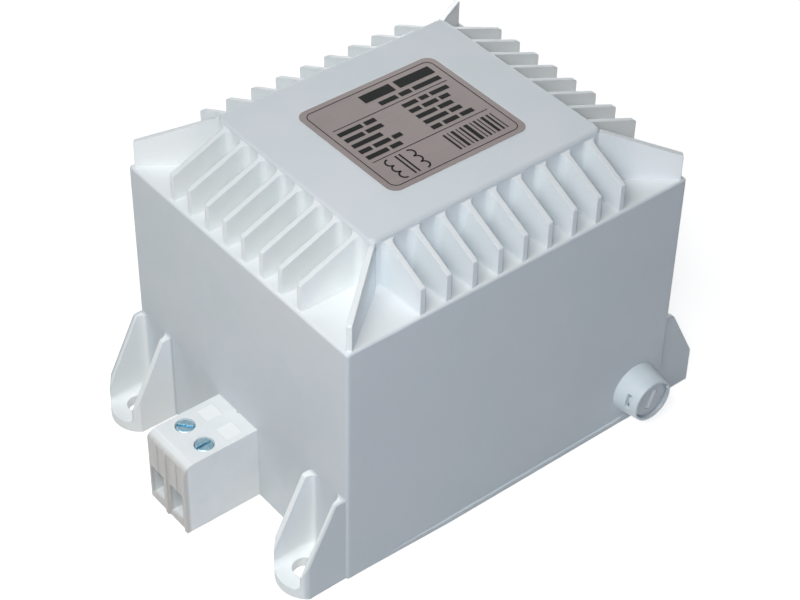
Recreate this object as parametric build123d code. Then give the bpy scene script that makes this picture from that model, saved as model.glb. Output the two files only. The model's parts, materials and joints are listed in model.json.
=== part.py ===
from build123d import *
import math
import os

# A potted safety transformer in a finned plastic housing with four fixing ears, in millimetres.
# The origin lies on the base plane, midway between the four fixing holes. +Z is up, the secondary
# terminals face -X, the mains terminals face +X and the fuse faces -Y.

# Core: E and I sheets laid flat, with their legs along Y
core_leg = 16.0
core_stack = 45.7

# Coil: a bobbin with two chambers, the primary winding in the one nearer the fuse
bobbin_gap = 0.2
bobbin_wall = 1.4
winding_corner = 8.0
wrap_sink = 0.6
wrap_thickness = 0.5
wrap_gap = 0.1

# Thermal switch, lying on the primary winding
switch_length = 10.0
switch_width = 6.0
switch_height = 4.0
switch_x = 6.0

# Housing: wall, room around the core and coil, edges
wall = 2.5
core_room_x = 4.5
core_room_y = 3.3
core_room_above = 5.4
coil_room_below = 7.6
coil_room_above = 5.05
coil_room_x = 2.4
coil_room_y = 5.2
pour_depth = 2.0
edge_round = 0.9
rim_round = 0.8
turret_round = 2.0
plate_round = 0.9
foot_round = 1.8

# Fins between the raised turret and the rim: a wedge each, rounded at the tip
fin_thickness = 1.5
fin_tip_round = 0.7
fin_root_round = 1.6
end_fin_count = 8
end_fin_inset = 5.2
end_fin_shift = 0.4
end_fin_setback = 1.0
end_fin_tip = 7.7
end_fin_drop = 0.95
side_fin_count = 9
side_fin_inset = 4.75
side_fin_shift = 0.2
side_fin_setback = 0.7
side_fin_tip = 7.9
side_fin_drop = 1.45
corner_fin_setback = 1.8
corner_fin_tip = 7.6
corner_fin_drop = 0.85

# Fixing ears: a rounded base plate between two gussets
ear_width = 14.3
ear_inset = 0.65
ear_reach = 15.2
ear_toe = 11.4
ear_nose_height = 3.8
ear_shelf = 2.7
ear_height = 28.3
ear_base = 3.0
ear_gusset = 1.6
ear_shelf_round = 1.0
ear_pocket_round = 2.5
ear_floor_round = 1.8
ear_hole_reach = 7.5
ear_hole_diameter = 6.6

# Lip along the foot of the fuse side
lip_height = 1.3
lip_out = 0.8
lip_start = 5.0
lip_ramp = 28.0
lip_end = 2.0

# Rating label
label_length = 44.0
label_width = 40.0
label_thickness = 0.15
label_round = 3.0
label_offset_x = 0.7
label_offset_y = -0.4

# Terminal block: from the base upwards, a sill, the clamp cage, the current bar and the screw
block_lift = 0.4
block_sill = 2.0
block_offset = 0.6
cage_play = 0.2
cage_floor = 1.4
wire_space = 5.6
wire_width = 4.8
bar_thickness = 1.4
bar_side_gap = 0.4
bar_tail = 6.0
cage_head = 2.6
cage_wall = 0.8
cage_length = 6.4
cage_side_gap = 0.3
grip_gap = 0.4
pole_partition = 1.6
entry_headroom = 1.2
entry_flare = 0.4
entry_offset = -0.7
front_wall = 6.0
screw_reach = 13.7
screw_shoulder = 1.2
screw_head_height = 3.3
screw_head_diameter = 4.9
screw_head_round = 0.4
screw_head_gap = 0.25
screw_sink = 0.25
screw_diameter = 4.0
screw_gap = 0.05
thread_gap = 0.1
screw_hole_gap = 0.2
slot_width = 0.8
slot_depth = 1.2
slot_angles = {"secondary": {1: -48.0, 2: 0.0}, "mains": {1: 35.0, 2: -20.0}}
front_rib = 1.2
front_relief = 0.5
front_ridge = 0.35
front_ridge_out = 0.2
block_round = 3.5
marker_length = 5.0
marker_width = 5.0
marker_depth = 0.1
marker_setback = 3.5
seam_notch = 0.5
peg_height = 4.0
peg_tail = 2.5
passage_gap = 0.2

# Fuse holder: a tapered collar outside the wall and a barrel inside it, about one axis
fuse_edge = 10.7
fuse_height = 10.3
collar_out = 7.46
collar_foot_radius = 7.75
collar_rim_radius = 6.4
collar_rim = 0.7
barrel_wall = 1.4
barrel_end_wall = 2.2
running_gap = 0.3
fit_gap = 0.05
seat_gap = 0.1
cap_recess = 0.9
cap_thickness = 3.2
cap_slot_length = 6.2
cap_slot_width = 2.0
cap_slot_depth = 1.5
cap_slot_angle = 68.0
lug_angle = 168.0
lug_span = 20.0
lug_height = 1.2
lug_out = 0.55
bayonet_turn = 40.0
window_lead = 8.0
carrier_wall = 1.3
carrier_depth = 4.0
sleeve_wall = 0.4
sleeve_reach = 5.0
sleeve_room = 1.0
nut_across_flats = 14.0
nut_thickness = 3.0
tab_width = 2.8
tab_thickness = 0.8
tab_behind_nut = 0.7
side_tab_reach = 1.5
rear_tab_length = 5.0
spring_length = 4.0
spring_turns = 4
spring_wire = 0.5

# Fuse link
fuse_length = 20.0
fuse_radius = 2.6
fuse_cap_length = 5.0
fuse_cap_wall = 0.25
glass_wall = 0.6
element_radius = 0.1

# Internal leads, their bends and the room beside them
mains_lead_radius = 0.9
secondary_lead_radius = 1.6
small_bend = 2.0
lead_bend = 3.0
lead_stub = 5.0
lead_run = 8.0
lead_drop = 4.1

# Core and coil places
core_length = 6 * core_leg
core_depth = 5 * core_leg
centre_leg = 2 * core_leg
window_length = 3 * core_leg
core_bottom = coil_room_below + core_leg
core_middle = core_bottom + core_stack / 2
core_top = core_bottom + core_stack
coil_length = centre_leg + 2 * core_leg - 2 * bobbin_gap
coil_height = core_stack + 2 * core_leg - 2 * bobbin_gap
coil_width = window_length - 2 * bobbin_gap
tube_length = centre_leg + 2 * bobbin_gap
tube_height = core_stack + 2 * bobbin_gap
wrap_length = coil_length - 2 * wrap_sink
wrap_height = coil_height - 2 * wrap_sink
winding_length = wrap_length - 2 * (wrap_thickness + wrap_gap)
winding_height = wrap_height - 2 * (wrap_thickness + wrap_gap)
chamber_width = (coil_width - 3 * bobbin_wall) / 2
chamber_middle = (chamber_width + bobbin_wall) / 2
switch_bottom = core_middle + wrap_height / 2
switch_middle = switch_bottom + switch_height / 2

# Housing places
body_length = core_length + 2 * (core_room_x + wall)
body_width = core_depth + 2 * (core_room_y + wall)
ledge = core_top + core_room_above + wall
turret_top = core_top + core_leg + coil_room_above + wall
turret_length = centre_leg + 2 * (core_leg + coil_room_x + wall)
turret_width = window_length + 2 * (coil_room_y + wall)
turret_height = turret_top - ledge
ear_y = body_width / 2 - ear_inset - ear_width / 2

# Terminal places, in a frame that stands on the end wall with +X pointing out
cage_width = wire_width + 2 * cage_wall
pole_pitch = cage_width + 2 * cage_side_gap + pole_partition
block_width = 2 * pole_pitch
chamber_floor = block_lift + block_sill
cage_bottom = chamber_floor + cage_play
bar_bottom = cage_bottom + cage_floor + wire_space
bar_top = bar_bottom + bar_thickness
bar_middle = (bar_bottom + bar_top) / 2
bar_width = wire_width - 2 * bar_side_gap
cage_window = wire_space + bar_thickness + cage_play
cage_height = cage_floor + cage_window + cage_head
cage_travel = wire_space - grip_gap
chamber_top = cage_bottom + cage_height + cage_travel + cage_play
shoulder_top = chamber_top + screw_shoulder
screw_top = shoulder_top + screw_gap + screw_head_height
block_top = screw_top + screw_sink
chamber_depth = screw_reach + cage_length / 2 + cage_side_gap
block_reach = chamber_depth + front_wall
entry_top = bar_top + entry_headroom
entry_width = wire_width + 2 * entry_flare
bar_end = wall + bar_tail
poles = {1: -pole_pitch / 2, 2: pole_pitch / 2}

# Fuse places, in a frame on the wall's outer face with +Z pointing out of the housing
fuse_x = body_length / 2 - fuse_edge
collar_bore = collar_rim_radius - collar_rim
cap_radius = collar_bore - running_gap
cap_front = collar_out - cap_recess
cap_back = cap_front - cap_thickness
lug_radius = cap_radius + lug_out
lug_low = cap_back + lug_height / 2
lug_high = lug_low + lug_height
sleeve_radius = fuse_radius + fit_gap + sleeve_wall
carrier_radius = sleeve_radius + fit_gap + carrier_wall
bore_radius = carrier_radius + running_gap
barrel_radius = bore_radius + barrel_wall
fuse_front = cap_back - fit_gap
fuse_rear = fuse_front - fuse_length
sleeve_end = -carrier_depth - sleeve_reach
bore_end = sleeve_end - sleeve_room
spring_end = fuse_rear - fit_gap - spring_length
rear_contact_end = spring_end - tab_thickness
barrel_end = rear_contact_end - barrel_end_wall
rear_tab_end = barrel_end - rear_tab_length
side_tab_top = -wall - nut_thickness - tab_behind_nut
side_tab_end = barrel_radius + side_tab_reach
fuse_frame = Pos(fuse_x, -body_width / 2, fuse_height) * Rot(90, 0, 0)


def span_box(x_span, y_span, z_span):
    """A box between two ends on each axis."""
    spans = (x_span, y_span, z_span)
    middle = [sum(span) / 2 for span in spans]
    return Pos(*middle) * Box(*[high - low for low, high in spans])


def centred(size, middle=0.0):
    """The two ends of a length about its middle."""
    return middle - size / 2, middle + size / 2


def rod(radius, low, high):
    """A round bar about Z between two heights."""
    return Pos(0, 0, (low + high) / 2) * Cylinder(radius, high - low)


def ring_sector(inner, outer, start, stop, low, high):
    """Part of a ring about Z, between two angles in degrees."""
    section = Plane.XZ * Pos((inner + outer) / 2, (low + high) / 2) * Rectangle(outer - inner, high - low)
    return Rot(0, 0, start) * revolve(section, Axis.Z, revolution_arc=stop - start)


def rounded_block(length, width, bottom, top, side_round, top_round):
    """A block on Z with rounded upright edges and a rounded upper rim."""
    block = span_box(centred(length), centred(width), (bottom, top))
    block = fillet(block.edges().filter_by(Axis.Z), side_round)
    return fillet(block.edges().group_by(Axis.Z)[-1], top_round)


# Housing

def cavity(bottom):
    """The space inside the housing, above a given height."""
    lower = span_box(centred(body_length - 2 * wall), centred(body_width - 2 * wall), (bottom, ledge - wall))
    upper = span_box(
        centred(turret_length - 2 * wall), centred(turret_width - 2 * wall), (bottom, turret_top - wall)
    )
    return lower + upper


def wedge(reach, root_height, tip_height, root, half_thickness):
    """A plate that slopes down as it runs out along +X from a wall at X = 0, on a ledge at Z = 0."""
    outline = Polyline(
        (-root, -wall / 2), (reach, -wall / 2), (reach, tip_height), (0, root_height), (-root, root_height),
        close=True,
    )
    plate = extrude(Plane.XZ * make_face(outline), half_thickness, both=True)
    tip = plate.edges().filter_by(Axis.Y).group_by(Axis.X)[-1].sort_by(Axis.Z)[-1]
    return fillet(tip, fin_tip_round)


def row_fin(reach, root_height, tip_height):
    """A fin of a row, with a round on each side where it meets the wall."""
    root = wall / 2
    half = fin_thickness / 2
    foot_half = half + fin_root_round + root
    stem = Pos(reach / 2, 0) * Rectangle(reach, fin_thickness)
    plan = stem + Pos(-root / 2, 0) * Rectangle(root, 2 * foot_half)
    at_wall = plan.vertices().filter_by_position(Axis.X, -fit_gap, fit_gap)
    plan = fillet(at_wall.filter_by_position(Axis.Y, -half - fit_gap, half + fit_gap), fin_root_round)
    column = Pos(0, 0, -wall / 2) * extrude(plan, wall / 2 + root_height)
    return column & wedge(reach, root_height, tip_height, root, foot_half)


def evenly(count, span):
    """Places of a number of like things, spread over a span about zero."""
    return [span * (index / (count - 1) - 0.5) for index in range(count)]


def fins():
    """The rows of fins on the four sides and one fin on each corner's diagonal."""
    room_x = (body_length - turret_length) / 2
    room_y = (body_width - turret_width) / 2
    end_fin = row_fin(room_x - end_fin_setback, turret_height - end_fin_drop, end_fin_tip)
    side_fin = row_fin(room_y - side_fin_setback, turret_height - side_fin_drop, side_fin_tip)
    corner_fin = wedge(
        math.hypot(room_x, room_y) - corner_fin_setback,
        turret_height - corner_fin_drop,
        corner_fin_tip,
        wall,
        fin_thickness / 2,
    )
    placed = []
    for turn, way in ((0, 1), (180, -1)):
        side = Rot(0, 0, turn)
        for y in evenly(end_fin_count, turret_width - 2 * end_fin_inset):
            placed.append(side * Pos(turret_length / 2, y + way * end_fin_shift, ledge) * end_fin)
        for x in evenly(side_fin_count, turret_length - 2 * side_fin_inset):
            foot = Pos(x + way * side_fin_shift, turret_width / 2, ledge)
            placed.append(side * foot * Rot(0, 0, 90) * side_fin)
        for hand in (1, -1):
            slant = math.degrees(math.atan2(hand * room_y, room_x))
            corner = Pos(turret_length / 2, hand * turret_width / 2, ledge) * Rot(0, 0, slant)
            placed.append(side * corner * corner_fin)
    return placed


def ear():
    """A fixing ear on a wall at X = 0, with its base on Z = 0 and its hole along Z."""
    back = -wall / 2
    side = ear_width / 2
    sides = Polyline((ear_toe, -side), (back, -side), (back, side), (ear_toe, side))
    nose = ThreePointArc((ear_toe, side), (ear_reach, 0), (ear_toe, -side))
    column = extrude(make_face([sides, nose]), ear_height)
    slope = Polyline(
        (back, 0), (ear_reach, 0), (ear_reach, ear_nose_height), (ear_shelf, ear_height), (back, ear_height),
        close=True,
    )
    wedge = extrude(Plane.XZ * make_face(slope), ear_width, both=True)
    shelf_edge = wedge.edges().filter_by(Axis.Y).group_by(Axis.Z)[-1].sort_by(Axis.X)[-1]
    wedge = fillet(shelf_edge, ear_shelf_round)
    pocket = span_box((0, 2 * ear_reach), centred(ear_width - 2 * ear_gusset), (ear_base, 2 * ear_height))
    pocket = fillet(pocket.edges().filter_by(Axis.Z).group_by(Axis.X)[0], ear_pocket_round)
    pocket = fillet(pocket.edges().group_by(Axis.Z)[0], ear_floor_round)
    hole = Pos(ear_hole_reach, 0, 0) * rod(ear_hole_diameter / 2, 0, ear_height)
    return (column & wedge) - pocket - hole


def ears():
    """Two ears on each end wall."""
    placed = []
    for turn in (0, 180):
        for y in (-ear_y, ear_y):
            placed.append(Rot(0, 0, turn) * Pos(body_length / 2, y, 0) * ear())
    return placed


def foot_lip():
    """A low lip along the foot of the fuse side, which fades out towards -X."""
    face_y = -body_width / 2
    plan = Polyline(
        (lip_start - body_length / 2, face_y),
        (lip_start + lip_ramp - body_length / 2, face_y - lip_out),
        (body_length / 2 - lip_end - lip_out, face_y - lip_out),
        (body_length / 2 - lip_end, face_y),
        (body_length / 2 - lip_end, face_y + wall / 2),
        (lip_start - body_length / 2, face_y + wall / 2),
        close=True,
    )
    return extrude(make_face(plan), lip_height)


def wall_passages():
    """The holes in the walls for the fuse barrel, the current bars and the block pegs."""
    through = centred(3 * wall)
    cuts = [fuse_frame * rod(barrel_radius + passage_gap, -2 * wall, wall)]
    for frame in terminal_frames.values():
        for pole_y in poles.values():
            bar_hole = span_box(
                through,
                centred(bar_width + 2 * passage_gap, pole_y),
                (bar_bottom - passage_gap, bar_top + passage_gap),
            )
            cuts.append(frame * bar_hole)
        for peg in block_pegs(passage_gap):
            cuts.append(frame * peg)
    return cuts


def housing():
    """The moulded housing: box, turret, fins, ears and wall openings in one piece."""
    shell = rounded_block(body_length, body_width, 0, ledge, edge_round, rim_round)
    shell += rounded_block(turret_length, turret_width, ledge - wall, turret_top, turret_round, plate_round)
    on_ledge = shell.edges().filter_by_position(Axis.Z, ledge - fit_gap, ledge + fit_gap)
    turret_foot = on_ledge.filter_by_position(Axis.X, -turret_length / 2, turret_length / 2)
    turret_foot = turret_foot.filter_by_position(Axis.Y, -turret_width / 2, turret_width / 2)
    shell = fillet(turret_foot, foot_round)
    shell += fins()
    shell += ears()
    shell += foot_lip()
    return shell - cavity(0) - wall_passages()


def rating_label():
    """The foil label on the turret's top plate."""
    sheet = extrude(RectangleRounded(label_length, label_width, label_round), label_thickness)
    return Pos(label_offset_x, label_offset_y, turret_top) * sheet


# Core and coil

def i_laminations():
    """The stack of I sheets on the fuse side."""
    near = -core_depth / 2
    return span_box(centred(core_length), (near, near + core_leg), (core_bottom, core_top))


def e_laminations():
    """The stack of E sheets, its three legs pointing at the I sheets."""
    near = core_leg - core_depth / 2
    stack = span_box(centred(core_length), (near, core_depth / 2), (core_bottom, core_top))
    for side in (-1, 1):
        window_x = side * (centre_leg + core_leg) / 2
        stack -= span_box(centred(core_leg, window_x), (near, near + window_length), (core_bottom, core_top))
    return stack


def along_y(outline, width, middle):
    """A flat outline in X and Z made into a solid along Y, about the core's middle height."""
    return Pos(0, middle, core_middle) * extrude(Plane.XZ * outline, width / 2, both=True)


def bobbin():
    """A rectangular tube with a flange at each end and one between the chambers."""
    tube = Rectangle(tube_length + 2 * bobbin_wall, tube_height + 2 * bobbin_wall)
    opening = Rectangle(tube_length, tube_height)
    flange = Rectangle(coil_length, coil_height)
    spool = along_y(tube, coil_width, 0)
    for y in evenly(3, coil_width - bobbin_wall):
        spool += along_y(flange, bobbin_wall, y)
    return spool - along_y(opening, coil_width, 0)


def winding(middle):
    """The turns in one chamber, as one block round the bobbin's tube."""
    outside = RectangleRounded(winding_length, winding_height, winding_corner)
    inside = Rectangle(tube_length + 2 * bobbin_wall, tube_height + 2 * bobbin_wall)
    return along_y(outside - inside, chamber_width, middle)


def wrap(middle, channels):
    """The tape round one winding, with the lead exits cut through it."""
    corner = winding_corner + wrap_gap
    outside = RectangleRounded(wrap_length, wrap_height, corner + wrap_thickness)
    inside = RectangleRounded(wrap_length - 2 * wrap_thickness, wrap_height - 2 * wrap_thickness, corner)
    return along_y(outside - inside, chamber_width, middle) - channels


def thermal_switch():
    """The flat temperature switch on top of the primary winding's tape."""
    return span_box(
        centred(switch_length, switch_x),
        centred(switch_width, -chamber_middle),
        (switch_bottom, switch_bottom + switch_height),
    )


# Terminals, in the end wall's frame

terminal_frames = {
    "secondary": Rot(0, 0, 180) * Pos(body_length / 2, -block_offset, 0),
    "mains": Pos(body_length / 2, -block_offset, 0),
}


def block_pegs(gap):
    """The two locating pegs between the poles, grown by a gap on each side."""
    tail = (-wall - peg_tail, 0)
    middles = (bar_middle - bar_thickness - peg_height, bar_middle + bar_thickness + peg_height)
    across = centred(pole_partition + 2 * gap)
    return [span_box(tail, across, centred(peg_height + 2 * gap, middle)) for middle in middles]


def pole_cuts(pole_y):
    """What one pole takes out of the block: chamber, entry, screw hole and shallow reliefs."""
    pole_low, pole_high = centred(pole_pitch, pole_y)
    panel = block_reach - front_relief
    chamber = span_box(
        (0, chamber_depth), centred(pole_pitch - pole_partition, pole_y), (chamber_floor, chamber_top)
    )
    entry = span_box(
        (0, block_reach), centred(entry_width, pole_y + entry_offset), (chamber_floor, entry_top)
    )
    relief = span_box((panel, block_reach), (pole_low, pole_high - front_rib), (block_lift, block_top))
    ridge = span_box((panel, panel + front_ridge_out), centred(front_ridge, pole_y), (entry_top, block_top))
    marker = span_box(
        (marker_setback, marker_setback + marker_length),
        centred(marker_width, pole_y),
        (block_top - marker_depth, block_top),
    )
    screw_axis = Pos(screw_reach, pole_y, 0)
    head_hole = screw_axis * rod(screw_head_diameter / 2 + screw_head_gap, shoulder_top, block_top)
    shank_hole = screw_axis * rod(screw_diameter / 2 + screw_hole_gap, chamber_top, shoulder_top)
    return [chamber, entry, relief - ridge, marker, head_hole, shank_hole]


def terminal_block():
    """The two-pole block: its chambers open at the back and the wall closes them."""
    body = span_box((0, block_reach), centred(block_width), (block_lift, block_top))
    front_edge = body.edges().filter_by(Axis.Y).group_by(Axis.X)[-1].sort_by(Axis.Z)[-1]
    body = fillet(front_edge, block_round)
    for pole_y in poles.values():
        body -= pole_cuts(pole_y)
    body -= span_box((0, seam_notch), centred(seam_notch), (block_top - seam_notch, block_top))
    return body + block_pegs(0)


def clamp_cage(pole_y):
    """The square clamp that rises on the screw and lifts the wire against the bar."""
    low = cage_bottom
    across = centred(cage_length, screw_reach)
    frame = span_box(across, centred(cage_width, pole_y), (low, low + cage_height))
    window_low = low + cage_floor
    frame -= span_box(across, centred(wire_width, pole_y), (window_low, window_low + cage_window))
    thread = rod(screw_diameter / 2 + thread_gap, window_low + cage_window, low + cage_height)
    return frame - Pos(screw_reach, pole_y, 0) * thread


def current_bar(pole_y):
    """The bar that the wire is clamped to, with its tail inside the housing."""
    return span_box((-bar_end, chamber_depth), centred(bar_width, pole_y), (bar_bottom, bar_top))


def clamp_screw(pole_y, slot_angle):
    """A slotted cheese-head screw standing on the current bar."""
    head_bottom = shoulder_top + screw_gap
    head = rod(screw_head_diameter / 2, head_bottom, screw_top)
    head = fillet(head.edges().group_by(Axis.Z)[-1], screw_head_round)
    slot_floor = screw_top - slot_depth
    slot = span_box(centred(2 * screw_head_diameter), centred(slot_width), (slot_floor, screw_top))
    head -= Rot(0, 0, slot_angle) * slot
    shank = rod(screw_diameter / 2, bar_top + screw_gap, head_bottom)
    return Pos(screw_reach, pole_y, 0) * (shank + head)


# Fuse holder and fuse, in the fuse frame

def bayonet_channel(angle):
    """One lug's way in: a notch from the rim, a turn behind it and a window through the collar."""
    locked = angle - lug_span / 2
    released = angle + bayonet_turn - lug_span / 2
    channel_radius = lug_radius + seat_gap
    play = math.degrees(seat_gap / lug_radius)
    low = lug_low - seat_gap
    high = lug_high + seat_gap
    turn = ring_sector(0, channel_radius, locked - play, released + lug_span + play, low, high)
    notch = ring_sector(0, channel_radius, released - play, released + lug_span + play, low, collar_out)
    window = ring_sector(
        0, collar_foot_radius, locked - window_lead, locked + lug_span + window_lead, low, high
    )
    return turn + notch + window


def fuse_holder_body():
    """The collar and barrel in one moulding, with the bayonet channels and contact slots."""
    body = Pos(0, 0, collar_out / 2) * Cone(collar_foot_radius, collar_rim_radius, collar_out)
    body += rod(barrel_radius, barrel_end, 0)
    body -= rod(collar_bore, cap_back - seat_gap, collar_out)
    body -= rod(bore_radius, bore_end, cap_back)
    body -= rod(fuse_radius + running_gap, rear_contact_end, bore_end)
    for turn in (0, 180):
        body -= bayonet_channel(lug_angle + turn)
    return body - fuse_side_contact() - rear_tab()


def fuse_holder_nut():
    """The flat hexagon nut that clamps the holder to the wall from inside."""
    hexagon = RegularPolygon(nut_across_flats / 2, 6, major_radius=False)
    nut = Pos(0, 0, -wall - nut_thickness) * extrude(Rot(0, 0, 30) * hexagon, nut_thickness)
    return nut - rod(barrel_radius + fit_gap, -wall - nut_thickness, -wall)


def fuse_side_contact():
    """The contact strip through the barrel's side, near the front of the fuse."""
    inner_end = sleeve_radius + seat_gap
    return span_box(
        centred(tab_width), (inner_end, side_tab_end), (side_tab_top - tab_thickness, side_tab_top)
    )


def rear_tab():
    """The solder tab through the barrel's end."""
    return span_box(centred(tab_width), centred(tab_thickness), (rear_tab_end, rear_contact_end))


def fuse_rear_contact():
    """The contact disc at the bottom of the barrel, with its tab."""
    return rod(fuse_radius + running_gap - fit_gap, rear_contact_end, spring_end) + rear_tab()


def fuse_spring():
    """The coil spring that pushes the fuse forwards, with its ends ground flat."""
    helix = Helix(spring_length / spring_turns, spring_length, fuse_radius - spring_wire)
    wire = sweep(Plane(helix @ 0, z_dir=helix % 0) * Circle(spring_wire / 2), path=helix, is_frenet=True)
    return Pos(0, 0, spring_end) * (wire & rod(fuse_radius, 0, spring_length))


def fuse_carrier():
    """The slotted bayonet cap with the tube that takes the front of the fuse."""
    carrier = rod(cap_radius, cap_back, cap_front)
    carrier += rod(carrier_radius, -carrier_depth, cap_back)
    carrier -= rod(sleeve_radius + fit_gap, -carrier_depth, cap_back)
    for turn in (0, 180):
        start = lug_angle + turn - lug_span / 2
        carrier += ring_sector(0, lug_radius, start, start + lug_span, lug_low, lug_high)
    slot_floor = cap_front - cap_slot_depth
    slot = span_box(centred(cap_slot_length), centred(cap_slot_width), (slot_floor, cap_front))
    return carrier - Rot(0, 0, cap_slot_angle) * slot


def fuse_carrier_sleeve():
    """The brass sleeve inside the carrier that grips the fuse's front cap."""
    return rod(sleeve_radius, sleeve_end, cap_back) - rod(fuse_radius + fit_gap, sleeve_end, cap_back)


def fuse_cap(closed_end, open_end):
    """A metal end cap of the fuse, a cup between two heights."""
    inward = math.copysign(fuse_cap_wall, open_end - closed_end)
    low, high = sorted((closed_end, open_end))
    hollow_low, hollow_high = sorted((closed_end + inward, open_end))
    return rod(fuse_radius, low, high) - rod(fuse_radius - fuse_cap_wall, hollow_low, hollow_high)


def fuse_tube():
    """The glass tube of the fuse, held in both caps."""
    outer = fuse_radius - fuse_cap_wall - fit_gap
    low = fuse_rear + fuse_cap_wall
    high = fuse_front - fuse_cap_wall
    return rod(outer, low, high) - rod(outer - glass_wall, low, high)


def fuse_element():
    """The wire that melts, stretched between the caps."""
    return rod(element_radius, fuse_rear + fuse_cap_wall, fuse_front - fuse_cap_wall)


# Internal leads

def bar_tail_point(side, pole):
    """The middle of a current bar's inner end: side is 1 for the mains end, -1 for the other."""
    x = side * (body_length / 2 - bar_end)
    return x, side * (poles[pole] - block_offset), bar_middle


def winding_point(side, chamber, along):
    """A point on a winding's side below the core: chamber -1 is the primary's, 1 the secondary's."""
    return side * winding_length / 2, chamber * (chamber_middle + along), core_bottom - lead_drop


def fuse_point(x, y, z):
    """A point of the fuse frame in the part's own frame."""
    return fuse_x + x, -body_width / 2 - z, fuse_height + y


def side_entry_route(start, finish, run):
    """From a bar's end straight in, up and across, then straight to a winding's side."""
    inward = math.copysign(run, finish[0] - start[0])
    turn_x = start[0] + inward
    return [start, (turn_x, start[1], start[2]), (turn_x, finish[1], finish[2]), finish]


def terminal_to_fuse_route():
    """From the first mains bar over the fuse barrel to its side contact."""
    start = bar_tail_point(1, 1)
    finish = fuse_point(0, side_tab_end, side_tab_top - tab_thickness / 2)
    above = finish[2] + 2 * small_bend
    turn_x = start[0] - lead_stub
    return [
        start,
        (turn_x, start[1], start[2]),
        (turn_x, start[1], above),
        (finish[0], finish[1], above),
        finish,
    ]


def fuse_to_switch_route():
    """From the fuse's rear tab up beside the core, over it and across to the thermal switch."""
    start = fuse_point(0, 0, rear_tab_end)
    beside_core = body_length / 2 - wall - core_room_x / 2
    above_core = core_top + core_room_above / 2
    beside_coil = -window_length / 2 - coil_room_y / 2
    finish_x = switch_x + switch_length / 2
    corner_x = finish_x + 3 * lead_bend
    clear_y = start[1] + lead_stub
    return [
        start,
        (start[0], clear_y, start[2]),
        (beside_core, clear_y, start[2]),
        (beside_core, clear_y, above_core),
        (beside_core, beside_coil, above_core),
        (corner_x, beside_coil, above_core),
        (corner_x, beside_coil, switch_middle),
        (corner_x, -chamber_middle, switch_middle),
        (finish_x, -chamber_middle, switch_middle),
    ]


def switch_to_winding_route():
    """From the switch's other end down into the primary winding."""
    start_x = switch_x - switch_length / 2
    turn_x = start_x - 2 * small_bend
    winding_top = core_middle + winding_height / 2
    return [
        (start_x, -chamber_middle, switch_middle),
        (turn_x, -chamber_middle, switch_middle),
        (turn_x, -chamber_middle, winding_top),
    ]


def lead(route, radius, bend):
    """A round lead along straight runs joined by arcs."""
    path = FilletPolyline(*route, radius=bend)
    return sweep(Plane(path @ 0, z_dir=path % 0) * Circle(radius), path=path)


secondary_spread = chamber_width / 4
lead_plans = {
    "lead_terminal_to_fuse": (terminal_to_fuse_route(), mains_lead_radius, small_bend),
    "lead_fuse_to_switch": (fuse_to_switch_route(), mains_lead_radius, small_bend),
    "lead_switch_to_winding": (switch_to_winding_route(), mains_lead_radius, small_bend),
    "lead_primary_return": (
        side_entry_route(bar_tail_point(1, 2), winding_point(1, -1, 0), lead_run),
        mains_lead_radius,
        lead_bend,
    ),
    "lead_secondary_1": (
        side_entry_route(bar_tail_point(-1, 1), winding_point(-1, 1, secondary_spread), lead_run),
        secondary_lead_radius,
        lead_bend,
    ),
    "lead_secondary_2": (
        side_entry_route(bar_tail_point(-1, 2), winding_point(-1, 1, -secondary_spread), lead_run),
        secondary_lead_radius,
        lead_bend,
    ),
}


def lead_channels():
    """The leads again, a little thicker, to cut their way through tape and compound."""
    return [lead(route, radius + fit_gap, bend) for route, radius, bend in lead_plans.values()]


# Potting

def potting_compound(channels):
    """The resin that fills the housing round everything it holds."""
    held = [
        span_box(centred(core_length), centred(core_depth), (core_bottom, core_top)),
        span_box(centred(coil_length), centred(coil_width), centred(coil_height, core_middle)),
        thermal_switch(),
        fuse_frame * rod(barrel_radius + fit_gap, barrel_end, 0),
        fuse_frame * fuse_holder_nut(),
        fuse_frame * fuse_side_contact(),
        fuse_frame * rear_tab(),
    ]
    for frame in terminal_frames.values():
        held += [frame * current_bar(pole_y) for pole_y in poles.values()]
        held += [frame * peg for peg in block_pegs(0)]
    return cavity(pour_depth) - held - channels


def fuse_pieces():
    """Every piece of the fuse holder and the fuse, in the fuse frame."""
    return {
        "fuse_holder_body": fuse_holder_body(),
        "fuse_holder_nut": fuse_holder_nut(),
        "fuse_side_contact": fuse_side_contact(),
        "fuse_rear_contact": fuse_rear_contact(),
        "fuse_spring": fuse_spring(),
        "fuse_carrier": fuse_carrier(),
        "fuse_carrier_sleeve": fuse_carrier_sleeve(),
        "fuse_front_cap": fuse_cap(fuse_front, fuse_front - fuse_cap_length),
        "fuse_rear_cap": fuse_cap(fuse_rear, fuse_rear + fuse_cap_length),
        "fuse_tube": fuse_tube(),
        "fuse_element": fuse_element(),
    }


def terminal_pieces(side):
    """Every piece of one terminal block, in the end wall's frame."""
    pieces = {f"{side}_terminal_block": terminal_block()}
    for pole, pole_y in poles.items():
        pieces[f"{side}_current_bar_{pole}"] = current_bar(pole_y)
        pieces[f"{side}_clamp_cage_{pole}"] = clamp_cage(pole_y)
        pieces[f"{side}_clamp_screw_{pole}"] = clamp_screw(pole_y, slot_angles[side][pole])
    return pieces


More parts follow.
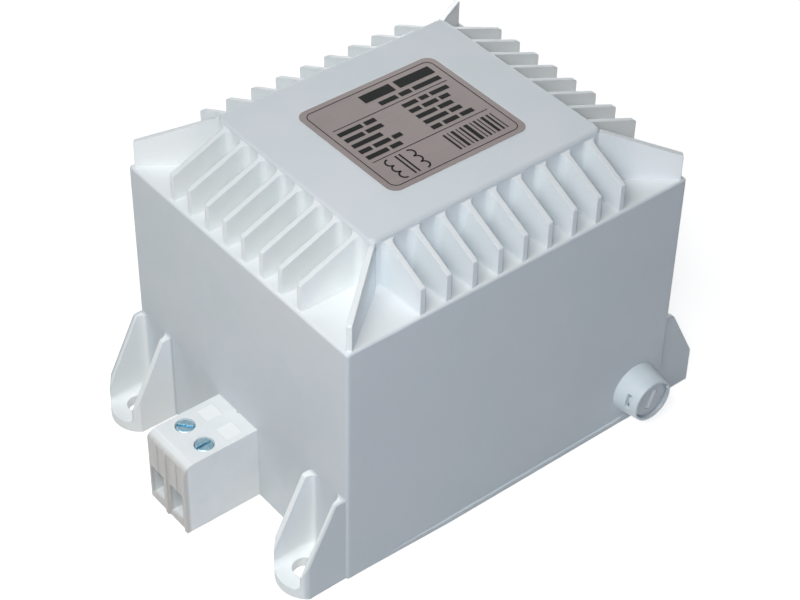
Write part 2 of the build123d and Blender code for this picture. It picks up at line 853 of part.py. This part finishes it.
def all_pieces():
    """Every piece of the transformer by its node's name, in the part's own frame."""
    channels = lead_channels()
    pieces = {
        "housing": housing(),
        "potting_compound": potting_compound(channels),
        "e_laminations": e_laminations(),
        "i_laminations": i_laminations(),
        "bobbin": bobbin(),
        "primary_winding": winding(-chamber_middle),
        "secondary_winding": winding(chamber_middle),
        "primary_wrap": wrap(-chamber_middle, channels),
        "secondary_wrap": wrap(chamber_middle, channels),
        "thermal_switch": thermal_switch(),
        "rating_label": rating_label(),
    }
    for name, plan in lead_plans.items():
        pieces[name] = lead(*plan)
    for name, piece in fuse_pieces().items():
        pieces[name] = fuse_frame * piece
    for side, frame in terminal_frames.items():
        for name, piece in terminal_pieces(side).items():
            pieces[name] = frame * piece
    return pieces


os.makedirs("parts", exist_ok=True)
for node, solid in all_pieces().items():
    export_step(solid, f"parts/{node}.step")
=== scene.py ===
import json
import math
import bmesh
import bpy
from mathutils import Euler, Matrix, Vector


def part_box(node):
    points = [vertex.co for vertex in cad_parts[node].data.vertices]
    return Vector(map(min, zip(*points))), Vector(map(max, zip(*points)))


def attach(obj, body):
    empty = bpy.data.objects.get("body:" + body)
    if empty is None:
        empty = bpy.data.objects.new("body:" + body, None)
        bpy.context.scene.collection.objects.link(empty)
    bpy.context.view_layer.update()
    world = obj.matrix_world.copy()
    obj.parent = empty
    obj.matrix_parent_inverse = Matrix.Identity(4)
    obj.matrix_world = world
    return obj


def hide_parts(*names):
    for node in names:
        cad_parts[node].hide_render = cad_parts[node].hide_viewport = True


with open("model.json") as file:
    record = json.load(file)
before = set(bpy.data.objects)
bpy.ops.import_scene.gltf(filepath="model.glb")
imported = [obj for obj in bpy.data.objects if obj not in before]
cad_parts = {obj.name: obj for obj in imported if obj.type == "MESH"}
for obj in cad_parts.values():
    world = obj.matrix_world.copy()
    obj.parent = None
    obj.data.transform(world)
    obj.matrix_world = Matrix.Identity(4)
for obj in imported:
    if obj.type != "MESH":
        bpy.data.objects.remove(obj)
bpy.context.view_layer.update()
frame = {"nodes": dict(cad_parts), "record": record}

# Camera: the photograph's place, tilt and focal length
camera_place = (-0.2725, -0.3275, 0.4039)
camera_angles = (49.0, -0.92, -38.79)
camera_lens = 94.25

# Stage: the floor's size, its drop below the part, its tone, mottle and glow to the camera, and the sky
floor_size = 6.0
floor_drop = 0.0002
floor_tone = (0.57, 0.56, 0.55)
floor_mottle = 0.985
floor_glow = 0.77
sky_level = 0.06
sky_colour = (0.92, 0.95, 1.0, 1.0)

# Lamps: place, aim, size, power and colour of each
lamps = {
    "key": ((-0.22, -0.15, 0.38), (-0.02, -0.01, 0.06), 0.20, 0.82, (1.0, 0.98, 0.94)),
    "beside_camera": ((-0.30, -0.33, 0.42), (0.0, 0.0, 0.05), 0.06, 0.40, (1.0, 1.0, 1.0)),
    "left_high": ((-0.45, 0.05, 0.60), (0.0, 0.0, 0.05), 0.40, 1.18, (0.88, 0.94, 1.0)),
    "overhead": ((0.0, -0.10, 0.90), (0.0, 0.0, 0.05), 0.45, 0.32, (0.75, 0.92, 1.0)),
    "side_glow": ((-0.12, -0.35, 0.12), (-0.02, -0.05, 0.05), 0.20, 0.11, (0.28, 0.55, 1.0)),
    "back_fill": ((0.78, 0.92, 0.25), (0.0, 0.0, 0.05), 0.40, 5.5, (0.97, 0.98, 1.0)),
}

# Texture nodes: the span that the noise mostly keeps to, and the radians per unit of the bands at scale 1
noise_low = 0.3
noise_high = 0.7
band_rate = 20.0

# Rays that feel out a sharp edge where it is shaded as rounded
edge_samples = 4

# Places of the colour sockets on a mix node, which share their names with those for numbers
mix_first = 6
mix_second = 7
mix_result = 2

# Zones of the housing's tones, which paint light onto the ear insides, the fins and the ledge: the
# distance from the frame's origin where each starts and where it is full
ear_zone = (0.0553, 0.0558)
outer_gusset_zone = (0.0440, 0.0448)
ledge_zone = (0.0765, 0.0773)
top_zone = (0.0915, 0.0925)
end_fin_zone = (0.0375, 0.0440)

# Faces that look up, which get the ledge's painted light: the upward part of the normal where their tone
# starts and where it is full
upward_zone = (0.2, 0.6)

# Terminal blocks: zone of the painted shade on the fronts, and the depth of the marking fields sunk into
# the tops
block_front_shade_zone = (0.0766, 0.0775)
field_depth = 0.0001

# Fuse cap: the axis that it turns on, its reach from there, and the zone of its face, where the slot's
# painted light gives way to the face's painted shade
fuse_axis = (0.0443, 0.0, 0.0103)
cap_reach = 0.00575
cap_face_zone = (0.0521, 0.0523)

# Label: tops of the foil sheet and of the print as shares of the label's thickness, and the corners
sheet_share = 0.6
ink_share = 0.8
corner_radius = 0.003
corner_steps = 10

# Label print: the frame line and the rules
print_margin = 0.0016
print_line = 0.00022
print_inset = 0.002
rule_levels = (0.0086, -0.0074)

# Label print: heading bars and the smaller bars under them, placed from the label's middle
heading_place = (-0.0044, 0.0148)
heading_height = 0.0034
heading_words = (0.0098, 0.0116)
heading_gap = 0.0014
subhead_place = (-0.0018, 0.0108)
subhead_height = 0.0017
subhead_words = (0.0056, 0.0036, 0.0088)

# Label print: two columns of bars between the rules, with the lengths of the words in each row
word_gap = 0.0009
row_top = 0.0064
row_pitch = 0.0029
row_height = 0.0016
right_column = 0.0022
word_rows = (
    ((0.0074, 0.0034), (0.0046, 0.0026, 0.0058)),
    ((0.0058, 0.0050), (0.0034, 0.0046, 0.0030)),
    ((0.0092,), (0.0062, 0.0044)),
    ((0.0036, 0.0050, 0.0028), (0.0074, 0.0036)),
    ((0.0066, 0.0034), (0.0030, 0.0046, 0.0040)),
)

# Label print: the coil symbol, with its columns and core lines spread in radii, and the stripes beside it
coil_offset = 0.0066
coil_level = -0.0128
coil_radius = 0.0014
coil_line = 0.0005
coil_spread = 2.2
core_spread = 0.45
arc_steps = 16
stripe_bottom = -0.0164
stripe_top = -0.0092
stripe_gap = 0.0008
stripe_widths = (
    0.0006, 0.0003, 0.0009, 0.0003, 0.0006, 0.0012,
    0.0003, 0.0006, 0.0003, 0.0009, 0.0006, 0.0003,
)


class Look:
    """One material: its shader, the piece's own coordinates and the nodes that feed the shader."""

    def __init__(self, name, roughness, metallic=0.0):
        self.material = bpy.data.materials.new(name)
        self.material.use_nodes = True
        self.tree = self.material.node_tree
        self.shader = self.tree.nodes["Principled BSDF"]
        self.set("Roughness", roughness)
        self.set("Metallic", metallic)
        self.place = self.node("ShaderNodeTexCoord").outputs["Object"]
        self.normal = None

    def set(self, socket, value):
        """Give one of the shader's own sockets a constant value."""
        self.shader.inputs[socket].default_value = value

    def node(self, kind):
        """Add a node to the material."""
        return self.tree.nodes.new(kind)

    def join(self, source, target):
        """Link an output to an input."""
        self.tree.links.new(source, target)

    def noise(self, size, detail=2.0, stretch=(1.0, 1.0, 1.0)):
        """Cloudy noise with blobs of a size in metres, drawn out along the axes by stretch."""
        mapping = self.node("ShaderNodeMapping")
        mapping.inputs["Scale"].default_value = [1.0 / (size * part) for part in stretch]
        self.join(self.place, mapping.inputs["Vector"])
        texture = self.node("ShaderNodeTexNoise")
        texture.inputs["Scale"].default_value = 1.0
        texture.inputs["Detail"].default_value = detail
        self.join(mapping.outputs["Vector"], texture.inputs["Vector"])
        return texture.outputs["Fac"]

    def bands(self, axis, period, wander):
        """Fine parallel bands across an axis, a period in metres apart and slightly uneven."""
        texture = self.node("ShaderNodeTexWave")
        texture.bands_direction = axis
        texture.inputs["Scale"].default_value = math.tau / (band_rate * period)
        texture.inputs["Distortion"].default_value = wander
        self.join(self.place, texture.inputs["Vector"])
        return texture.outputs["Fac"]

    def span(self, value, low=0.0, high=1.0, from_low=noise_low, from_high=noise_high):
        """A value brought from one span to another and kept within it."""
        scale = self.node("ShaderNodeMapRange")
        scale.inputs["From Min"].default_value = from_low
        scale.inputs["From Max"].default_value = from_high
        scale.inputs["To Min"].default_value = low
        scale.inputs["To Max"].default_value = high
        self.join(value, scale.inputs["Value"])
        return scale.outputs["Result"]

    def beyond(self, axis, zone):
        """0 nearer to the frame's origin than a zone along an axis, and 1 beyond it."""
        split = self.node("ShaderNodeSeparateXYZ")
        self.join(self.place, split.inputs["Vector"])
        distance = self.node("ShaderNodeMath")
        distance.operation = "ABSOLUTE"
        self.join(split.outputs[axis], distance.inputs[0])
        return self.span(distance.outputs[0], from_low=zone[0], from_high=zone[1])

    def level(self, height, reach):
        """1 within a reach of a height on the piece and 0 elsewhere."""
        split = self.node("ShaderNodeSeparateXYZ")
        self.join(self.place, split.inputs["Vector"])
        near = self.node("ShaderNodeMath")
        near.operation = "COMPARE"
        near.inputs[1].default_value = height
        near.inputs[2].default_value = reach
        self.join(split.outputs["Z"], near.inputs[0])
        return near.outputs[0]

    def upward(self):
        """0 on upright faces and 1 on faces that look up."""
        split = self.node("ShaderNodeSeparateXYZ")
        self.join(self.node("ShaderNodeNewGeometry").outputs["Normal"], split.inputs["Vector"])
        return self.span(split.outputs["Z"], from_low=upward_zone[0], from_high=upward_zone[1])

    def near_axis(self, point, reach):
        """1 within a reach of a line through a point along Y and 0 farther out."""
        flat = self.node("ShaderNodeMapping")
        flat.inputs["Scale"].default_value = (1.0, 0.0, 1.0)
        self.join(self.place, flat.inputs["Vector"])
        distance = self.node("ShaderNodeVectorMath")
        distance.operation = "DISTANCE"
        distance.inputs[1].default_value = point
        self.join(flat.outputs["Vector"], distance.inputs[0])
        inside = self.node("ShaderNodeMath")
        inside.operation = "LESS_THAN"
        inside.inputs[1].default_value = reach
        self.join(distance.outputs["Value"], inside.inputs[0])
        return inside.outputs[0]

    def product(self, first, second):
        """Two values multiplied."""
        times = self.node("ShaderNodeMath")
        times.operation = "MULTIPLY"
        self.join(first, times.inputs[0])
        self.join(second, times.inputs[1])
        return times.outputs[0]

    def blend(self, value, first, second):
        """A colour that runs from the first to the second as a value goes from 0 to 1."""
        mix = self.node("ShaderNodeMix")
        mix.data_type = "RGBA"
        self.join(value, mix.inputs["Factor"])
        for place, colour in ((mix_first, first), (mix_second, second)):
            if isinstance(colour, tuple):
                mix.inputs[place].default_value = (*colour, 1.0)
            else:
                self.join(colour, mix.inputs[place])
        return mix.outputs[mix_result]

    def paint(self, colour):
        """Feed the base colour."""
        self.join(colour, self.shader.inputs["Base Color"])

    def gloss(self, value, low, high):
        """Let the roughness follow a value between two levels."""
        self.join(self.span(value, low, high), self.shader.inputs["Roughness"])

    def soften(self, radius):
        """Shade sharp edges as if they were rounded by a radius in metres."""
        bevel = self.node("ShaderNodeBevel")
        bevel.samples = edge_samples
        bevel.inputs["Radius"].default_value = radius
        self.normal = bevel.outputs["Normal"]
        self.join(self.normal, self.shader.inputs["Normal"])

    def relief(self, value, depth, strength=1.0):
        """Raise the surface by a value times a depth in metres, on top of what is there."""
        bump = self.node("ShaderNodeBump")
        bump.inputs["Strength"].default_value = strength
        bump.inputs["Distance"].default_value = depth
        self.join(value, bump.inputs["Height"])
        if self.normal:
            self.join(self.normal, bump.inputs["Normal"])
        self.normal = bump.outputs["Normal"]
        self.join(self.normal, self.shader.inputs["Normal"])


# Plastics

def housing_plastic():
    """Pale moulding with a fine eroded grain, with painted light: paler tones on the ledge and faces that
    look up, the fins and the insides of the ear pockets stand in for light that falls and bounces there.
    """
    look = Look("housing_plastic", roughness=0.5)
    look.soften(radius=0.0004)
    grain = look.noise(size=0.00045, detail=3.0)
    cloud = look.span(look.noise(size=0.03, detail=3.0))
    walls = look.blend(cloud, (0.63, 0.69, 0.716), (0.672, 0.698, 0.734))
    # Painted light: the ledge, the fins and the insides of the ear pockets are paler than the walls,
    # standing in for light that falls and bounces on them
    ledge = look.blend(cloud, (0.80, 0.83, 0.845), (0.82, 0.845, 0.86))
    painted_light_side_fins = look.blend(cloud, (0.82, 0.865, 0.885), (0.84, 0.88, 0.895))
    painted_bounce_light = look.blend(cloud, (0.915, 0.945, 0.955), (0.93, 0.955, 0.96))
    ears_painted_light = look.blend(look.beyond("Y", outer_gusset_zone), painted_bounce_light, walls)
    lower = look.blend(look.beyond("X", ear_zone), walls, ears_painted_light)
    fins = look.blend(look.beyond("X", end_fin_zone), painted_light_side_fins, painted_bounce_light)
    # Faces that look up take the ledge's painted light, and upright ones take the fins' painted light
    raised_painted_light = look.blend(look.upward(), fins, ledge)
    upper = look.blend(look.beyond("Z", top_zone), raised_painted_light, walls)
    body = look.blend(look.beyond("Z", ledge_zone), lower, upper)
    speck = look.span(grain, high=0.16, from_low=0.60, from_high=0.76)
    look.paint(look.blend(speck, body, (0.55, 0.60, 0.63)))
    look.gloss(look.noise(size=0.004, detail=4.0), low=0.42, high=0.56)
    look.relief(grain, depth=0.00005, strength=0.5)
    look.relief(cloud, depth=0.0004, strength=0.06)
    return look.material


def holder_plastic():
    """White moulding of the fuse holder, with painted shade on the cap's face, set back in the collar, and
    painted light in its slot.
    """
    look = Look("holder_plastic", roughness=0.34)
    look.soften(radius=0.00025)
    cloud = look.span(look.noise(size=0.006, detail=3.0))
    moulding = look.blend(cloud, (0.72, 0.79, 0.83), (0.77, 0.84, 0.88))
    # Painted shade on the cap's face, which sits back in the collar, and painted light in the slot, which
    # is paler as if lit inside
    face = look.blend(cloud, (0.56, 0.61, 0.65), (0.60, 0.65, 0.69))
    cap = look.blend(look.beyond("Y", cap_face_zone), (0.94, 0.96, 0.97), face)
    look.paint(look.blend(look.near_axis(fuse_axis, cap_reach), moulding, cap))
    look.gloss(look.noise(size=0.0015, detail=3.0), low=0.28, high=0.42)
    look.relief(look.noise(size=0.0007, detail=2.0), depth=0.00003, strength=0.25)
    return look.material


def terminal_plastic():
    """White moulding of the terminal blocks, with painted shade on the streaked fronts and pale fields on
    top.
    """
    look = Look("terminal_plastic", roughness=0.42)
    look.soften(radius=0.00025)
    block_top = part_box("secondary_terminal_block")[1][2]
    field = look.level(block_top - field_depth, reach=field_depth / 2)
    cloud = look.span(look.noise(size=0.006, detail=3.0))
    moulding = look.blend(cloud, (0.84, 0.865, 0.87), (0.88, 0.90, 0.905))
    streaks = look.span(look.noise(size=0.0018, detail=2.0, stretch=(1.0, 1.0, 12.0)))
    # Painted shade: the fronts are darker and warmer than the rest of the moulding, as if in shade, with
    # streaks
    shaded_front = look.blend(streaks, (0.61, 0.59, 0.57), (0.69, 0.675, 0.66))
    body = look.blend(look.beyond("X", block_front_shade_zone), moulding, shaded_front)
    look.paint(look.blend(field, body, (0.95, 0.96, 0.965)))
    shine = look.span(look.noise(size=0.0015, detail=3.0), low=0.36, high=0.50)
    smoothing = look.span(field, low=1.0, high=0.5, from_low=0.0, from_high=1.0)
    look.join(look.product(shine, smoothing), look.shader.inputs["Roughness"])
    look.relief(look.noise(size=0.0007, detail=2.0), depth=0.00003, strength=0.25)
    return look.material


def dull_plastic(name, pale, deep):
    """Plain moulded or insulating plastic with a faint mottle."""
    look = Look(name, roughness=0.55)
    look.paint(look.blend(look.span(look.noise(size=0.002, detail=4.0)), deep, pale))
    look.gloss(look.noise(size=0.001, detail=3.0), low=0.45, high=0.65)
    look.relief(look.noise(size=0.0004, detail=2.0), depth=0.00003, strength=0.3)
    return look.material


def potting_resin():
    """Cast resin with slow waves, fine bubbles and a cloudy tone."""
    look = Look("potting_resin", roughness=0.4)
    cloud = look.span(look.noise(size=0.012, detail=4.0))
    look.paint(look.blend(cloud, (0.23, 0.22, 0.20), (0.36, 0.35, 0.32)))
    look.gloss(look.noise(size=0.006, detail=3.0), low=0.28, high=0.5)
    look.relief(look.noise(size=0.018, detail=2.0), depth=0.0012, strength=0.5)
    pores = look.noise(size=0.0012, detail=1.0)
    bubbles = look.span(pores, low=1.0, high=0.0, from_low=0.20, from_high=0.30)
    look.relief(bubbles, depth=0.0003, strength=0.4)
    return look.material


def coil_tape():
    """Yellow film wound round the coil, with the edges of its turns."""
    look = Look("coil_tape", roughness=0.3)
    turns = look.bands("Y", period=0.009, wander=0.4)
    look.paint(look.blend(turns, (0.62, 0.47, 0.10), (0.80, 0.64, 0.18)))
    look.gloss(look.noise(size=0.003, detail=3.0), low=0.2, high=0.42)
    look.relief(turns, depth=0.0001, strength=0.4)
    return look.material


# Metals and glass

def laminated_steel():
    """The cut edges of many thin sheets, with a dull oxide tone."""
    look = Look("core_steel", roughness=0.5, metallic=0.9)
    sheets = look.bands("Z", period=0.0005, wander=0.6)
    stain = look.span(look.noise(size=0.008, detail=4.0))
    tone = look.blend(stain, (0.22, 0.22, 0.23), (0.38, 0.38, 0.39))
    edges = look.span(sheets, high=0.5, from_low=0.0, from_high=1.0)
    look.paint(look.blend(edges, tone, (0.10, 0.10, 0.11)))
    look.gloss(stain, low=0.4, high=0.6)
    look.relief(sheets, depth=0.00008, strength=0.5)
    return look.material


def enamelled_copper():
    """Turns of enamelled wire side by side."""
    look = Look("copper", roughness=0.35, metallic=0.85)
    turns = look.bands("Y", period=0.0009, wander=0.3)
    look.paint(look.blend(turns, (0.30, 0.12, 0.05), (0.72, 0.38, 0.20)))
    look.gloss(look.noise(size=0.002, detail=3.0), low=0.25, high=0.45)
    look.relief(turns, depth=0.0002, strength=0.6)
    return look.material


def plain_metal(name, pale, deep, smooth, rough):
    """Plated or drawn metal with a faint drawn grain and uneven shine."""
    look = Look(name, roughness=smooth, metallic=1.0)
    look.soften(radius=0.00015)
    haze = look.span(look.noise(size=0.0012, detail=4.0))
    look.paint(look.blend(haze, deep, pale))
    scratches = look.noise(size=0.00025, detail=2.0, stretch=(6.0, 1.0, 1.0))
    look.gloss(scratches, smooth, rough)
    look.relief(scratches, depth=0.00001, strength=0.3)
    return look.material


def fuse_glass():
    """Clear drawn glass with faint streaks."""
    look = Look("fuse_glass", roughness=0.03)
    streaks = look.noise(size=0.0008, detail=2.0, stretch=(1.0, 12.0, 1.0))
    look.paint(look.blend(look.span(streaks), (0.86, 0.93, 0.92), (0.97, 1.0, 0.99)))
    look.gloss(streaks, low=0.01, high=0.06)
    look.set("Transmission Weight", 1.0)
    look.set("IOR", 1.5)
    return look.material


def label_foil():
    """Satin foil with a fine brushed grain along the print's lines and a slow change of tone."""
    look = Look("label_foil", roughness=0.42, metallic=0.55)
    brushed = look.noise(size=0.00022, detail=3.0, stretch=(40.0, 1.0, 1.0))
    cloud = look.span(look.noise(size=0.02, detail=2.0))
    tone = look.blend(cloud, (0.195, 0.160, 0.150), (0.220, 0.182, 0.170))
    look.paint(look.blend(look.span(brushed, high=0.35), tone, (0.28, 0.235, 0.22)))
    look.gloss(brushed, low=0.36, high=0.5)
    look.relief(brushed, depth=0.00001, strength=0.25)
    return look.material


def label_ink():
    """Black print, a little thin in places."""
    look = Look("label_ink", roughness=0.6)
    look.set("Specular IOR Level", 0.06)
    wear = look.span(look.noise(size=0.0006, detail=4.0), from_low=0.45, from_high=0.8)
    look.paint(look.blend(wear, (0.004, 0.005, 0.004), (0.022, 0.020, 0.018)))
    look.gloss(wear, low=0.55, high=0.7)
    return look.material


def material_looks():
    """The finished material for each of the record's material slots."""
    return {
        "housing_plastic": housing_plastic(),
        "terminal_plastic": terminal_plastic(),
        "holder_plastic": holder_plastic(),
        "potting_resin": potting_resin(),
        "core_steel": laminated_steel(),
        "bobbin_plastic": dull_plastic("bobbin_plastic", (0.17, 0.17, 0.18), (0.11, 0.11, 0.12)),
        "copper": enamelled_copper(),
        "coil_tape": coil_tape(),
        "switch_case": dull_plastic("switch_case", (0.13, 0.13, 0.14), (0.08, 0.08, 0.09)),
        "lead_insulation": dull_plastic("lead_insulation", (0.62, 0.13, 0.10), (0.48, 0.08, 0.07)),
        "brass": plain_metal("brass", (0.80, 0.62, 0.28), (0.66, 0.48, 0.20), 0.24, 0.42),
        "plated_brass": plain_metal("plated_brass", (0.74, 0.74, 0.72), (0.60, 0.60, 0.58), 0.2, 0.38),
        "spring_steel": plain_metal("spring_steel", (0.60, 0.61, 0.63), (0.46, 0.47, 0.49), 0.22, 0.36),
        "zinc_steel": plain_metal("zinc_steel", (0.55, 0.78, 0.88), (0.38, 0.58, 0.68), 0.18, 0.34),
        "fuse_glass": fuse_glass(),
        "label_foil": label_foil(),
    }


def dress(piece, material):
    """Give a piece one material."""
    piece.data.materials.clear()
    piece.data.materials.append(material)


# Label pieces, drawn in the label's own plane about its middle

def rounded_outline(half_length, half_width, radius):
    """The points of a rectangle with rounded corners, counter-clockwise."""
    points = []
    for quarter, (side_x, side_y) in enumerate(((1, 1), (-1, 1), (-1, -1), (1, -1))):
        centre = Vector((side_x * (half_length - radius), side_y * (half_width - radius)))
        for step in range(corner_steps + 1):
            angle = math.radians(90) * (quarter + step / corner_steps)
            points.append(centre + radius * Vector((math.cos(angle), math.sin(angle))))
    return points


def arc_points(middle, radius, start, stop):
    """Points along an arc between two angles in degrees."""
    points = []
    for step in range(arc_steps + 1):
        angle = math.radians(start + (stop - start) * step / arc_steps)
        points.append(Vector(middle) + radius * Vector((math.cos(angle), math.sin(angle))))
    return points


class Sheet:
    """A thin flat piece between two heights, drawn from filled and hollow shapes."""

    def __init__(self, middle, low, high):
        self.mesh = bmesh.new()
        self.middle = middle
        self.low = low
        self.high = high

    def corner(self, point, height):
        """A vertex over a point of the label's plane."""
        return self.mesh.verts.new((self.middle[0] + point[0], self.middle[1] + point[1], height))

    def fill(self, points):
        """A solid shape inside one closed line of points."""
        upper = [self.corner(point, self.high) for point in points]
        lower = [self.corner(point, self.low) for point in points]
        self.mesh.faces.new(upper)
        self.mesh.faces.new(lower[::-1])
        self.walls(upper, lower)

    def walls(self, upper, lower):
        """The edge of a shape, between its two faces."""
        count = len(upper)
        for index in range(count):
            after = (index + 1) % count
            self.mesh.faces.new((upper[index], lower[index], lower[after], upper[after]))

    def bar(self, left, right, bottom, top):
        """A filled rectangle."""
        self.fill([(left, bottom), (right, bottom), (right, top), (left, top)])

    def band(self, outer, inner):
        """A closed line of some thickness between two rings with as many points each."""
        rings = []
        for points in (outer, inner):
            top = [self.corner(point, self.high) for point in points]
            bottom = [self.corner(point, self.low) for point in points]
            rings.append((top, bottom))
        (outer_top, outer_bottom), (inner_top, inner_bottom) = rings
        count = len(outer_top)
        for index in range(count):
            after = (index + 1) % count
            upper = (outer_top[index], outer_top[after], inner_top[after], inner_top[index])
            lower = (outer_bottom[after], outer_bottom[index], inner_bottom[index], inner_bottom[after])
            self.mesh.faces.new(upper)
            self.mesh.faces.new(lower)
        self.walls(outer_top, outer_bottom)
        self.walls(inner_top[::-1], inner_bottom[::-1])

    def stroke(self, middle, radius, width, start, stop):
        """Part of a ring as a filled shape."""
        outside = arc_points(middle, radius + width / 2, start, stop)
        inside = arc_points(middle, radius - width / 2, start, stop)
        self.fill(outside + inside[::-1])

    def piece(self, name, material):
        """The finished piece, which rides on the base."""
        data = bpy.data.meshes.new(name)
        self.mesh.to_mesh(data)
        self.mesh.free()
        made = bpy.data.objects.new(name, data)
        bpy.context.scene.collection.objects.link(made)
        dress(made, material)
        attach(made, "base")
        return made


def word_row(sheet, left, level, height, words, gap):
    """A row of plain bars of given lengths, as print looks from afar."""
    for length in words:
        sheet.bar(left, left + length, level - height / 2, level + height / 2)
        left += length + gap


def coil_symbol(sheet, middle, radius, line):
    """Two facing rows of half rings with two lines between them."""
    for side in (-1, 1):
        column = middle[0] + side * coil_spread * radius
        for row in (-1, 0, 1):
            sheet.stroke((column, middle[1] + 2 * row * radius), radius, line, 90 * side - 180, 90 * side)
        inner = middle[0] + side * core_spread * radius
        sheet.bar(inner - line / 2, inner + line / 2, middle[1] - 3 * radius, middle[1] + 3 * radius)


def print_frame(ink, edge_x, edge_y):
    """The line around the print and the two rules across it."""
    radius = corner_radius - print_margin / 2
    outer = rounded_outline(edge_x, edge_y, radius)
    inner = rounded_outline(edge_x - print_line, edge_y - print_line, radius - print_line)
    ink.band(outer, inner)
    reach = edge_x - print_inset
    for level in rule_levels:
        ink.bar(-reach, reach, level - print_line / 2, level + print_line / 2)


def print_words(ink, left):
    """Rows of bars: the heading, the smaller row under it and two columns."""
    word_row(ink, *heading_place, heading_height, heading_words, heading_gap)
    word_row(ink, *subhead_place, subhead_height, subhead_words, word_gap)
    for index, columns in enumerate(word_rows):
        level = row_top - row_pitch * index
        for start, words in zip((left, right_column), columns):
            word_row(ink, start, level, row_height, words, word_gap)


def print_stripes(ink):
    """A run of upright stripes of mixed widths."""
    left = right_column
    for width in stripe_widths:
        ink.bar(left, left + width, stripe_bottom, stripe_top)
        left += width + stripe_gap


def label_pieces(foil):
    """The foil sheet and its made-up print: a frame, rows of bars, a coil symbol and stripes."""
    low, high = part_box("rating_label")
    middle = ((low[0] + high[0]) / 2, (low[1] + high[1]) / 2)
    half_length = (high[0] - low[0]) / 2
    half_width = (high[1] - low[1]) / 2
    thickness = high[2] - low[2]
    sheet_top = low[2] + sheet_share * thickness
    sheet = Sheet(middle, low[2], sheet_top)
    sheet.fill(rounded_outline(half_length, half_width, corner_radius))
    foil_piece = sheet.piece("label_sheet", foil)
    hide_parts("rating_label")

    ink = Sheet(middle, sheet_top, low[2] + ink_share * thickness)
    edge_x = half_length - print_margin
    left = print_inset - edge_x
    print_frame(ink, edge_x, half_width - print_margin)
    print_words(ink, left)
    coil_symbol(ink, (left + coil_offset, coil_level), coil_radius, coil_line)
    print_stripes(ink)
    ink_piece = ink.piece("label_print", label_ink())


# Stage

def seen_directly(tree):
    """1 for rays from the camera, a mirror or glass, and 0 for the light that surfaces pass on."""
    path = tree.nodes.new("ShaderNodeLightPath")
    seen = path.outputs["Is Camera Ray"]
    for kind in ("Is Glossy Ray", "Is Transmission Ray"):
        either = tree.nodes.new("ShaderNodeMath")
        either.operation = "MAXIMUM"
        tree.links.new(seen, either.inputs[0])
        tree.links.new(path.outputs[kind], either.inputs[1])
        seen = either.outputs[0]
    return seen


def floor():
    """A wide pale floor that the camera sees as near white, with the part's shadow on it."""
    bpy.ops.mesh.primitive_plane_add(size=floor_size, location=(0, 0, -floor_drop))
    ground = bpy.context.object
    ground.name = "floor"
    look = Look("floor_paper", roughness=0.9)
    paper = look.span(look.noise(size=0.4, detail=2.0))
    look.paint(look.blend(paper, floor_tone, tuple(floor_mottle * part for part in floor_tone)))
    look.set("Emission Color", (1.0, 1.0, 1.0, 1.0))
    glow = look.span(seen_directly(look.tree), high=floor_glow, from_low=0.0, from_high=1.0)
    look.join(glow, look.shader.inputs["Emission Strength"])
    dress(ground, look.material)


def sky():
    """Even light from all round, seen as white where a ray reaches it."""
    world = bpy.data.worlds.new("sky")
    bpy.context.scene.world = world
    world.use_nodes = True
    tree = world.node_tree
    background = tree.nodes["Background"]
    background.inputs["Color"].default_value = sky_colour
    scale = tree.nodes.new("ShaderNodeMapRange")
    scale.inputs["To Min"].default_value = sky_level
    scale.inputs["To Max"].default_value = 1.0
    tree.links.new(seen_directly(tree), scale.inputs["Value"])
    tree.links.new(scale.outputs["Result"], background.inputs["Strength"])


def lamp(name, place, aim, size, power, colour):
    """A square soft lamp that looks at a point."""
    data = bpy.data.lights.new(name, "AREA")
    data.size = size
    data.energy = power
    data.color = colour
    made = bpy.data.objects.new(name, data)
    made.location = place
    made.visible_camera = False
    made.rotation_euler = (Vector(aim) - Vector(place)).to_track_quat("-Z", "Y").to_euler()
    bpy.context.scene.collection.objects.link(made)


def camera():
    """The camera at the photograph's view."""
    data = bpy.data.cameras.new("camera")
    data.lens = camera_lens
    made = bpy.data.objects.new("camera", data)
    made.location = camera_place
    made.rotation_euler = Euler([math.radians(angle) for angle in camera_angles])
    bpy.context.scene.collection.objects.link(made)
    bpy.context.scene.camera = made


looks = material_looks()
for entry in frame["record"]["subparts"]:
    dress(frame["nodes"][entry["node"]], looks[entry["material_slot"]])
label_pieces(looks["label_foil"])
floor()
sky()
for lamp_name, facts in lamps.items():
    lamp(lamp_name, *facts)
camera()
bpy.context.scene.view_settings.view_transform = "Standard"
